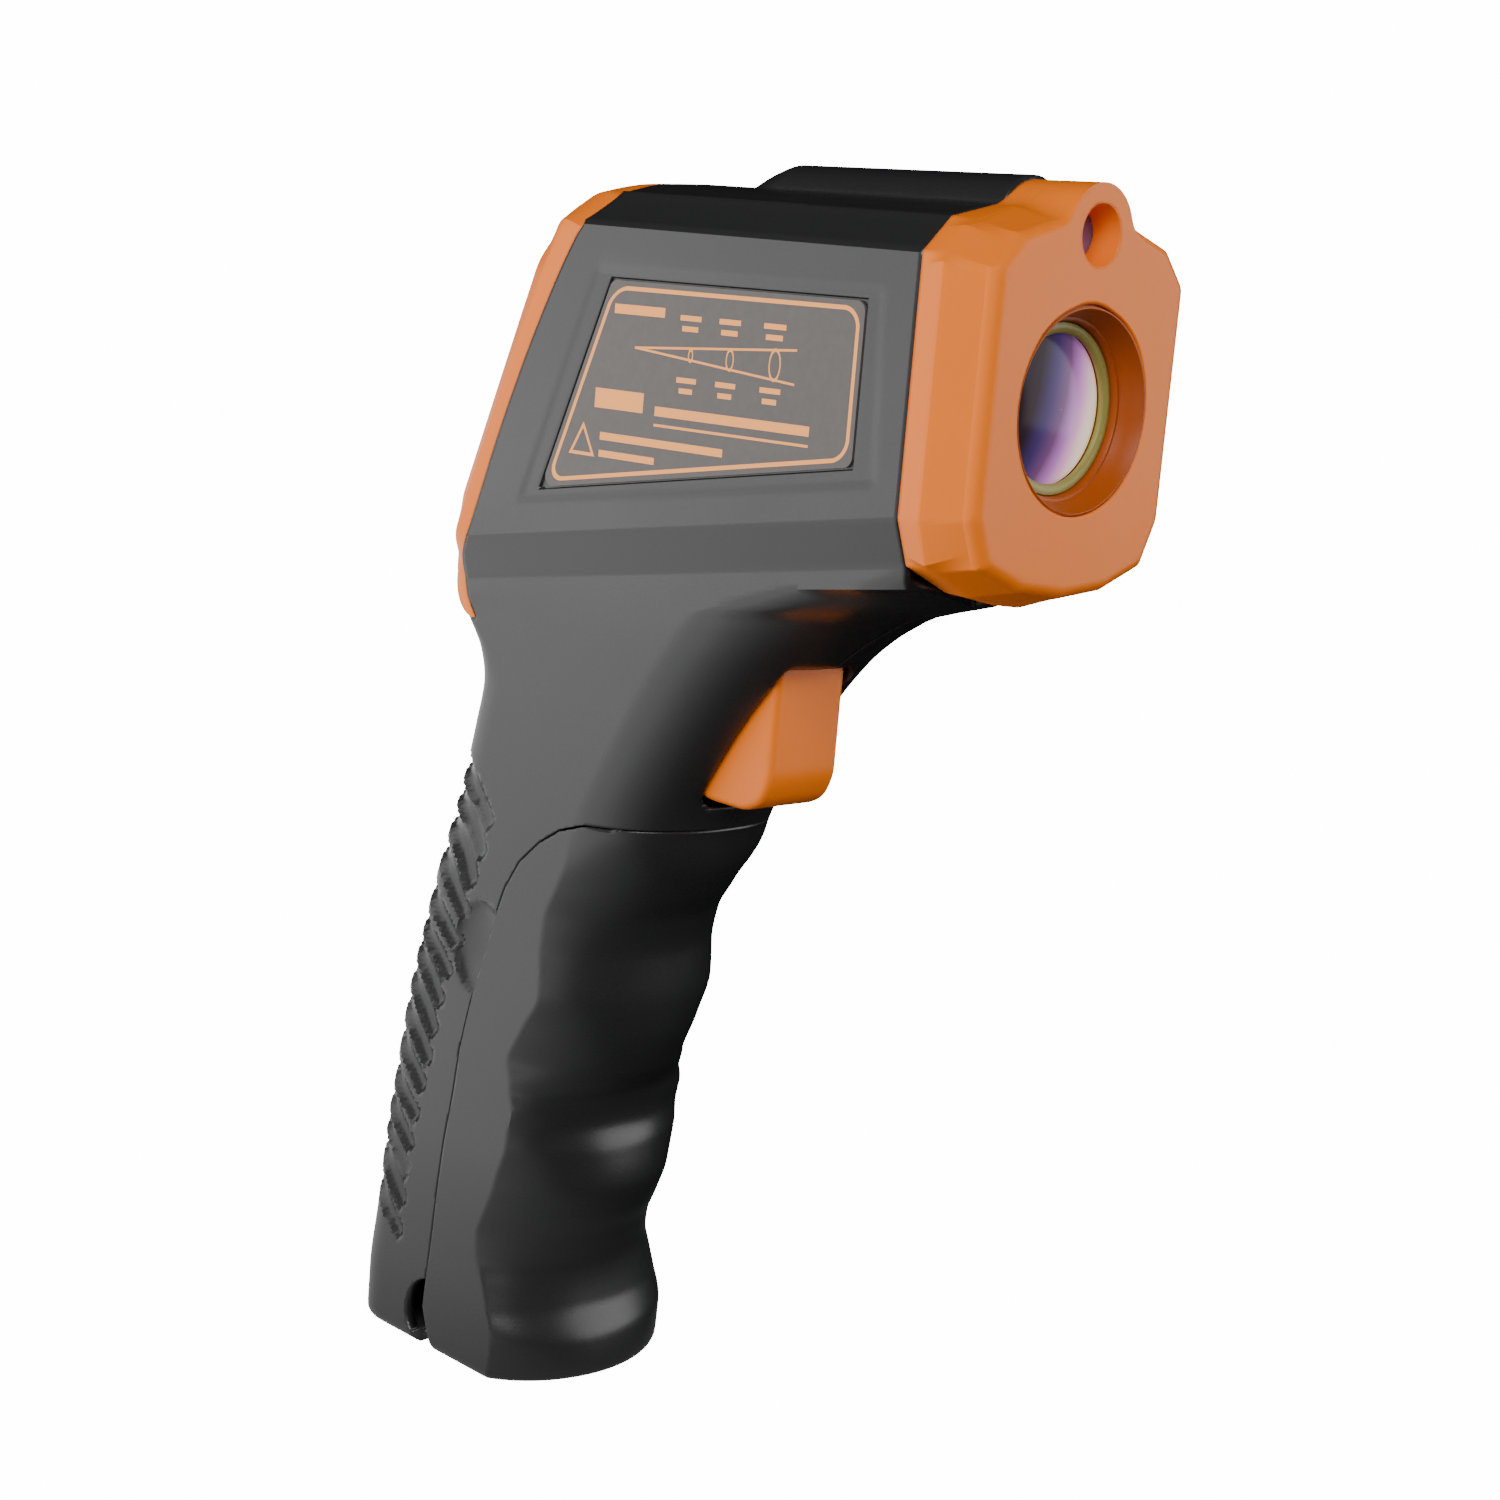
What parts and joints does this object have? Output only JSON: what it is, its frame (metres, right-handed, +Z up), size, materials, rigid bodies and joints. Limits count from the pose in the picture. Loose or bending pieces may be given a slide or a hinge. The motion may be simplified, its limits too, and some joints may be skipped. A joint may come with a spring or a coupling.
{
  "type": "infrared thermometer",
  "caption": "Pistol-shaped infrared thermometer with a ribbed grip, sprung trigger, hinged battery door, recessed lens and laser in the nose, and a rear display.",
  "frame": {"origin": "centre of the bounding box's underside: on the plane that halves the housing, at the level of the foot of the grip", "axes": "+Z up the grip, -Y the way the lens faces, +X across to the left of the person holding it"},
  "size_m": [0.0368, 0.0982, 0.1566],
  "materials": {
    "grey_shell": "satin gloss dark grey",
    "orange_bezel": "satin orange",
    "orange_trigger": "satin orange",
    "lens_glass": "coated lens, violet",
    "olive_ring": "olive",
    "barrel_plastic": "black",
    "sensor_can": "satin",
    "laser_glass": "tinted",
    "laser_brass": "turned",
    "green_board": "solder mask",
    "window_glass": "clear",
    "lcd_glass": "grey-green display",
    "backlight_plastic": "white diffuser",
    "frame_plastic": "black",
    "key_plastic": "fine texture",
    "pad_rubber": "silicone",
    "chip_plastic": "moulded",
    "screw_steel": "zinc plated",
    "spring_steel": "bright",
    "switch_plastic": "black",
    "plunger_plastic": "ivory",
    "cell_sleeve": "printed sleeve",
    "contact_steel": "nickel",
    "red_lead": "insulation",
    "white_lead": "insulation",
    "label_film": "printed film"
  },
  "bodies": {
    "housing": {"right_shell": "grey_shell", "left_shell": "grey_shell", "nose_bezel": "orange_bezel", "rear_bezel": "orange_bezel", "lens": "lens_glass", "lens_ring": "olive_ring", "optic_barrel": "barrel_plastic", "thermopile_sensor": "sensor_can", "laser_window": "laser_glass", "laser_module": "laser_brass", "sensor_board": "green_board", "display_window": "window_glass", "lcd_module": "lcd_glass", "backlight": "backlight_plastic", "lcd_frame": "frame_plastic", "main_board": "green_board", "keypad": "pad_rubber", "board_chips": "chip_plastic", "board_screws": "screw_steel", "buzzer": "chip_plastic", "trigger_pin": "screw_steel", "hinge_pin": "screw_steel", "trigger_spring": "spring_steel", "trigger_switch": "switch_plastic", "battery_right": "cell_sleeve", "battery_left": "cell_sleeve", "battery_tray": "barrel_plastic", "contact_plates": "contact_steel", "battery_springs": "spring_steel", "laser_leads": "red_lead", "sensor_leads": "white_lead", "battery_leads": "red_lead", "housing_screws": "screw_steel", "label_left": "label_film", "label_right": "label_film"},
    "door": {"battery_door": "grey_shell"},
    "trigger": {"trigger": "orange_trigger"},
    "plunger": {"switch_plunger": "plunger_plastic"},
    "mode_key": {"key_mode": "key_plastic"},
    "up_key": {"key_up": "key_plastic"},
    "down_key": {"key_down": "key_plastic"}
  },
  "joints": [
    {"name": "trigger_pull", "type": "hinge", "parent": "housing", "child": "trigger", "pos_m": [0, -0.00863, 0.1054], "axis": [1, 0, 0], "range_deg": [0, 8], "stiffness_Nm_per_rad": 0.35, "springref_deg": -3.44},
    {"name": "switch_press", "type": "slide", "parent": "housing", "child": "plunger", "axis": [0, 1, 0], "range_m": [0, 0.0024]},
    {"name": "door_swing", "type": "hinge", "parent": "housing", "child": "door", "pos_m": [0, 0.03137, 0.0045], "axis": [1, 0, 0], "range_deg": [0, 50]},
    {"name": "mode_press", "type": "slide", "parent": "housing", "child": "mode_key", "axis": [0, -0.9336, -0.3584], "range_m": [0, 0.0006], "stiffness_N_per_m": 400},
    {"name": "up_press", "type": "slide", "parent": "housing", "child": "up_key", "axis": [0, -0.9336, -0.3584], "range_m": [0, 0.0006], "stiffness_N_per_m": 400},
    {"name": "down_press", "type": "slide", "parent": "housing", "child": "down_key", "axis": [0, -0.9336, -0.3584], "range_m": [0, 0.0006], "stiffness_N_per_m": 400}
  ],
  "couplings": [
    {"joint": "switch_press", "follows": "trigger_pull", "m_per_rad": 0.0164}
  ]
}
